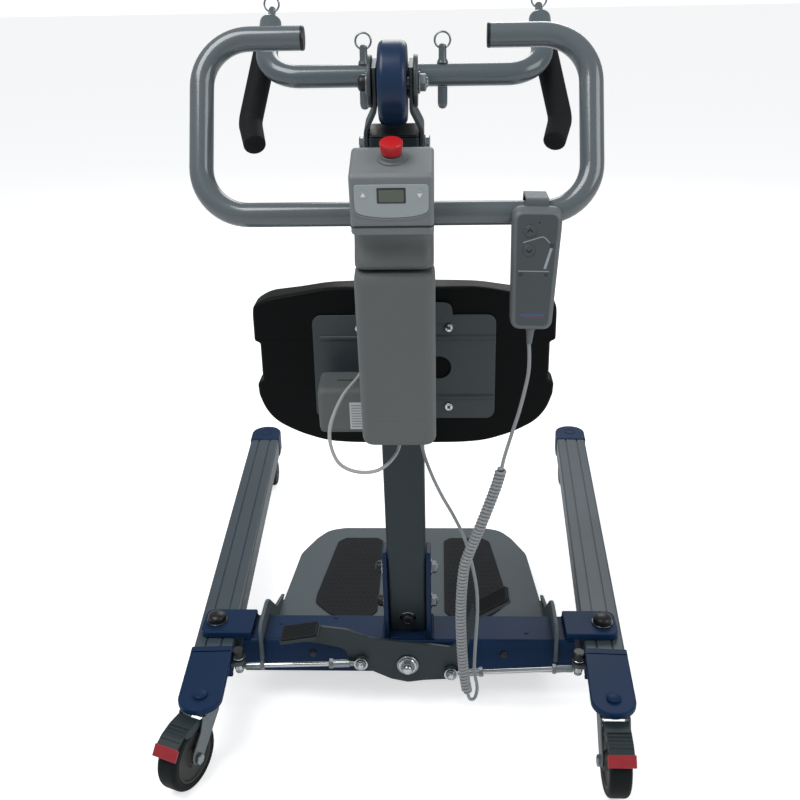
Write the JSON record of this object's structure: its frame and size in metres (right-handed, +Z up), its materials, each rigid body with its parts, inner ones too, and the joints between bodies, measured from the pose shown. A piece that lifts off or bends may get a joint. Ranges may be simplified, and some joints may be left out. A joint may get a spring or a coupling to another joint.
{
  "type": "sit to stand patient lift",
  "caption": "Wheeled sit to stand lift with opening legs, leaning mast, powered boom and cow-horn sling bar, knee pad, foot plate, push handle and corded handset",
  "frame": {"origin": "on the floor at the centre of the base's length and width", "axes": "+X to the caregiver's right, +Y from the caregiver towards the patient, +Z up"},
  "size_m": [0.7508, 1.0543, 1.0513],
  "materials": {
    "blue_powder_coat": "satin powder coat",
    "mast_paint": "satin paint",
    "leg_paint": "satin paint",
    "foot_plate_paint": "textured paint",
    "handle_paint": "gloss paint",
    "fork_paint": "satin paint",
    "zinc_plate": "zinc plated",
    "pivot_steel": "blackened steel",
    "rod_chrome": "polished",
    "box_plastic": "fine textured moulding",
    "window_plastic": "clear window over a dark display",
    "button_white": "moulded",
    "stop_red": "moulded",
    "black_plastic": "moulded",
    "collar_plastic": "moulded",
    "handset_plastic": "fine textured moulding",
    "cord_rubber": "soft sheath",
    "cable_grey": "soft sheath",
    "grip_foam": "closed-cell foam",
    "foot_pad_rubber": "anti-slip sheet",
    "knee_pad_foam": "moulded integral-skin foam",
    "wheel_blue": "polyurethane",
    "wheel_tyre": "grey thermoplastic rubber",
    "brake_steel": "zinc plated with a red toe"
  },
  "bodies": {
    "root": {"cross_beam": "blue_powder_coat", "mast_bracket": "blue_powder_coat", "frame_bolts": "zinc_plate", "mast": "mast_paint", "mast_cap": "black_plastic", "foot_plate": "foot_plate_paint", "foot_pads": "foot_pad_rubber", "pivot_pins": "pivot_steel", "handle_frame": "handle_paint", "handle_end_caps": "black_plastic", "control_box": "box_plastic", "control_head": "box_plastic", "display_window": "window_plastic", "stop_collar": "collar_plastic", "mast_fork": "fork_paint", "boom_axle": "zinc_plate", "handset_case": "handset_plastic", "handset_strain_relief": "cord_rubber", "handset_cord": "cord_rubber", "handset_coil": "cord_rubber", "handset_return_cord": "cord_rubber", "actuator_cable": "cable_grey"},
    "lock_pin": {"mast_lock_pin": "black_plastic"},
    "battery": {"battery_pack": "box_plastic"},
    "stop": {"stop_button": "stop_red"},
    "head_up": {"head_up_button": "button_white"},
    "head_down": {"head_down_button": "button_white"},
    "handset_up": {"handset_up_button": "handset_plastic"},
    "handset_down": {"handset_down_button": "handset_plastic"},
    "wheel_top": {"guide_wheel": "wheel_blue"},
    "boom": {"boom_arm": "fork_paint", "spreader_bar": "handle_paint", "sling_hooks": "zinc_plate", "hand_grips": "grip_foam"},
    "keeper_1": {"keeper_outer_left": "zinc_plate"},
    "keeper_2": {"keeper_inner_left": "zinc_plate"},
    "keeper_3": {"keeper_inner_right": "zinc_plate"},
    "keeper_4": {"keeper_outer_right": "zinc_plate"},
    "actuator": {"actuator_body": "box_plastic"},
    "rod": {"actuator_rod": "rod_chrome"},
    "knee": {"knee_carrier": "fork_paint", "knee_plate": "fork_paint", "knee_pad": "knee_pad_foam"},
    "pedal": {"spread_pedal": "fork_paint"},
    "tie_left": {"tie_rod_left": "zinc_plate"},
    "tie_right": {"tie_rod_right": "zinc_plate"},
    "leg_left": {"leg_left": "leg_paint", "leg_ends_left": "blue_powder_coat"},
    "rear_fork_left": {"rear_fork_left": "zinc_plate"},
    "rear_wheel_left": {"rear_wheel_left": "wheel_tyre"},
    "brake_left": {"brake_pedal_left": "brake_steel"},
    "front_fork_left": {"front_fork_left": "black_plastic"},
    "front_wheels_left": {"front_wheels_left": "wheel_tyre"},
    "leg_right": {"leg_right": "leg_paint", "leg_ends_right": "blue_powder_coat"},
    "rear_fork_right": {"rear_fork_right": "zinc_plate"},
    "rear_wheel_right": {"rear_wheel_right": "wheel_tyre"},
    "brake_right": {"brake_pedal_right": "brake_steel"},
    "front_fork_right": {"front_fork_right": "black_plastic"},
    "front_wheels_right": {"front_wheels_right": "wheel_tyre"}
  },
  "joints": [
    {"name": "boom_lift", "type": "hinge", "parent": "root", "child": "boom", "pos_m": [0, -0.43252, 0.96835], "axis": [1, 0, 0], "range_deg": [-10, 35]},
    {"name": "actuator_tilt", "type": "hinge", "parent": "root", "child": "actuator", "pos_m": [-0.008, -0.27033, 0.46], "axis": [1, 0, 0], "range_deg": [-6, 3]},
    {"name": "actuator_stroke", "type": "slide", "parent": "actuator", "child": "rod", "axis": [0, -0.1376, 0.9905], "range_m": [-0.03, 0.08]},
    {"name": "guide_wheel_spin", "type": "hinge", "parent": "root", "child": "wheel_top", "pos_m": [0, -0.43252, 0.96835], "axis": [1, 0, 0], "continuous": true},
    {"name": "lock_pin_pull", "type": "slide", "parent": "root", "child": "lock_pin", "axis": [0, -0.9763, -0.2164], "range_m": [0, 0.012], "stiffness_N_per_m": 400},
    {"name": "battery_release", "type": "slide", "parent": "root", "child": "battery", "axis": [0, -0.9763, -0.2164], "range_m": [0, 0.06]},
    {"name": "stop_press", "type": "slide", "parent": "root", "child": "stop", "axis": [0, 0.3502, -0.9367], "range_m": [0, 0.004], "stiffness_N_per_m": 900, "springref_m": -0.001},
    {"name": "head_up_press", "type": "slide", "parent": "root", "child": "head_up", "axis": [0, 0.9763, 0.2164], "range_m": [0, 0.001], "stiffness_N_per_m": 1500, "springref_m": -0.0005},
    {"name": "head_down_press", "type": "slide", "parent": "root", "child": "head_down", "axis": [0, 0.9763, 0.2164], "range_m": [0, 0.001], "stiffness_N_per_m": 1500, "springref_m": -0.0005},
    {"name": "handset_up_press", "type": "slide", "parent": "root", "child": "handset_up", "axis": [0, 1, 0], "range_m": [0, 0.0012], "stiffness_N_per_m": 1500, "springref_m": -0.0005},
    {"name": "handset_down_press", "type": "slide", "parent": "root", "child": "handset_down", "axis": [0, 1, 0], "range_m": [0, 0.0012], "stiffness_N_per_m": 1500, "springref_m": -0.0005},
    {"name": "knee_height", "type": "slide", "parent": "root", "child": "knee", "axis": [0, -0.2164, 0.9763], "range_m": [-0.02, 0.05]},
    {"name": "pedal_swing", "type": "hinge", "parent": "root", "child": "pedal", "pos_m": [0, -0.307, 0.09], "axis": [0, 1, 0], "range_deg": [0, 26]},
    {"name": "tie_left_swing", "type": "hinge", "parent": "pedal", "child": "tie_left", "pos_m": [-0.072, -0.317, 0.098], "axis": [0, 0.9962, 0.0877], "range_deg": [-38, 1]},
    {"name": "tie_right_swing", "type": "hinge", "parent": "pedal", "child": "tie_right", "pos_m": [0.067, -0.317, 0.08], "axis": [0, 0.9961, -0.0885], "range_deg": [-38, 1]},
    {"name": "keeper_outer_left_swing", "type": "hinge", "parent": "boom", "child": "keeper_1", "pos_m": [-0.2, 0.02936, 1.02782], "axis": [1, 0, 0], "range_deg": [-70, 70]},
    {"name": "keeper_inner_left_swing", "type": "hinge", "parent": "boom", "child": "keeper_2", "pos_m": [-0.056, -0.08552, 0.98035], "axis": [1, 0, 0], "range_deg": [-70, 70]},
    {"name": "keeper_inner_right_swing", "type": "hinge", "parent": "boom", "child": "keeper_3", "pos_m": [0.056, -0.08552, 0.98035], "axis": [1, 0, 0], "range_deg": [-70, 70]},
    {"name": "keeper_outer_right_swing", "type": "hinge", "parent": "boom", "child": "keeper_4", "pos_m": [0.2, 0.02936, 1.02782], "axis": [1, 0, 0], "range_deg": [-70, 70]},
    {"name": "leg_left_spread", "type": "hinge", "parent": "root", "child": "leg_left", "pos_m": [-0.306, -0.252, 0.097], "axis": [0, 0, 1], "range_deg": [0, 12]},
    {"name": "rear_swivel_left", "type": "hinge", "parent": "leg_left", "child": "rear_fork_left", "pos_m": [-0.29725, -0.42478, 0.11], "axis": [0, 0, 1], "continuous": true},
    {"name": "rear_spin_left", "type": "hinge", "parent": "rear_fork_left", "child": "rear_wheel_left", "pos_m": [-0.3149, -0.46617, 0.05], "axis": [0.9198, -0.3923, 0], "continuous": true},
    {"name": "brake_left_press", "type": "hinge", "parent": "rear_fork_left", "child": "brake_left", "pos_m": [-0.30745, -0.44869, 0.099], "axis": [0.9198, -0.3923, 0], "range_deg": [0, 2.5]},
    {"name": "front_swivel_left", "type": "hinge", "parent": "leg_left", "child": "front_fork_left", "pos_m": [-0.34319, 0.48205, 0.07], "axis": [0, 0, 1], "continuous": true},
    {"name": "front_spin_left", "type": "hinge", "parent": "front_fork_left", "child": "front_wheels_left", "pos_m": [-0.34319, 0.46205, 0.03], "axis": [1, 0, 0], "continuous": true},
    {"name": "leg_right_spread", "type": "hinge", "parent": "root", "child": "leg_right", "pos_m": [0.306, -0.252, 0.097], "axis": [0, 0, -1], "range_deg": [0, 12]},
    {"name": "rear_swivel_right", "type": "hinge", "parent": "leg_right", "child": "rear_fork_right", "pos_m": [0.29725, -0.42478, 0.11], "axis": [0, 0, 1], "continuous": true},
    {"name": "rear_spin_right", "type": "hinge", "parent": "rear_fork_right", "child": "rear_wheel_right", "pos_m": [0.29733, -0.46978, 0.05], "axis": [1, 0.0017, 0], "continuous": true},
    {"name": "brake_right_press", "type": "hinge", "parent": "rear_fork_right", "child": "brake_right", "pos_m": [0.29729, -0.45078, 0.099], "axis": [1, 0.0017, 0], "range_deg": [0, 2.5]},
    {"name": "front_swivel_right", "type": "hinge", "parent": "leg_right", "child": "front_fork_right", "pos_m": [0.34319, 0.48205, 0.07], "axis": [0, 0, 1], "continuous": true},
    {"name": "front_spin_right", "type": "hinge", "parent": "front_fork_right", "child": "front_wheels_right", "pos_m": [0.34319, 0.46205, 0.03], "axis": [1, 0, 0], "continuous": true}
  ],
  "couplings": [
    {"joint": "actuator_tilt", "follows": "boom_lift", "ratio": -0.135},
    {"joint": "actuator_stroke", "follows": "boom_lift", "m_per_rad": 0.105},
    {"joint": "tie_left_swing", "follows": "pedal_swing", "ratio": -1.359},
    {"joint": "tie_right_swing", "follows": "pedal_swing", "ratio": -1.322},
    {"joint": "leg_left_spread", "follows": "pedal_swing", "ratio": 0.4423},
    {"joint": "leg_right_spread", "follows": "pedal_swing", "ratio": 0.4423}
  ]
}
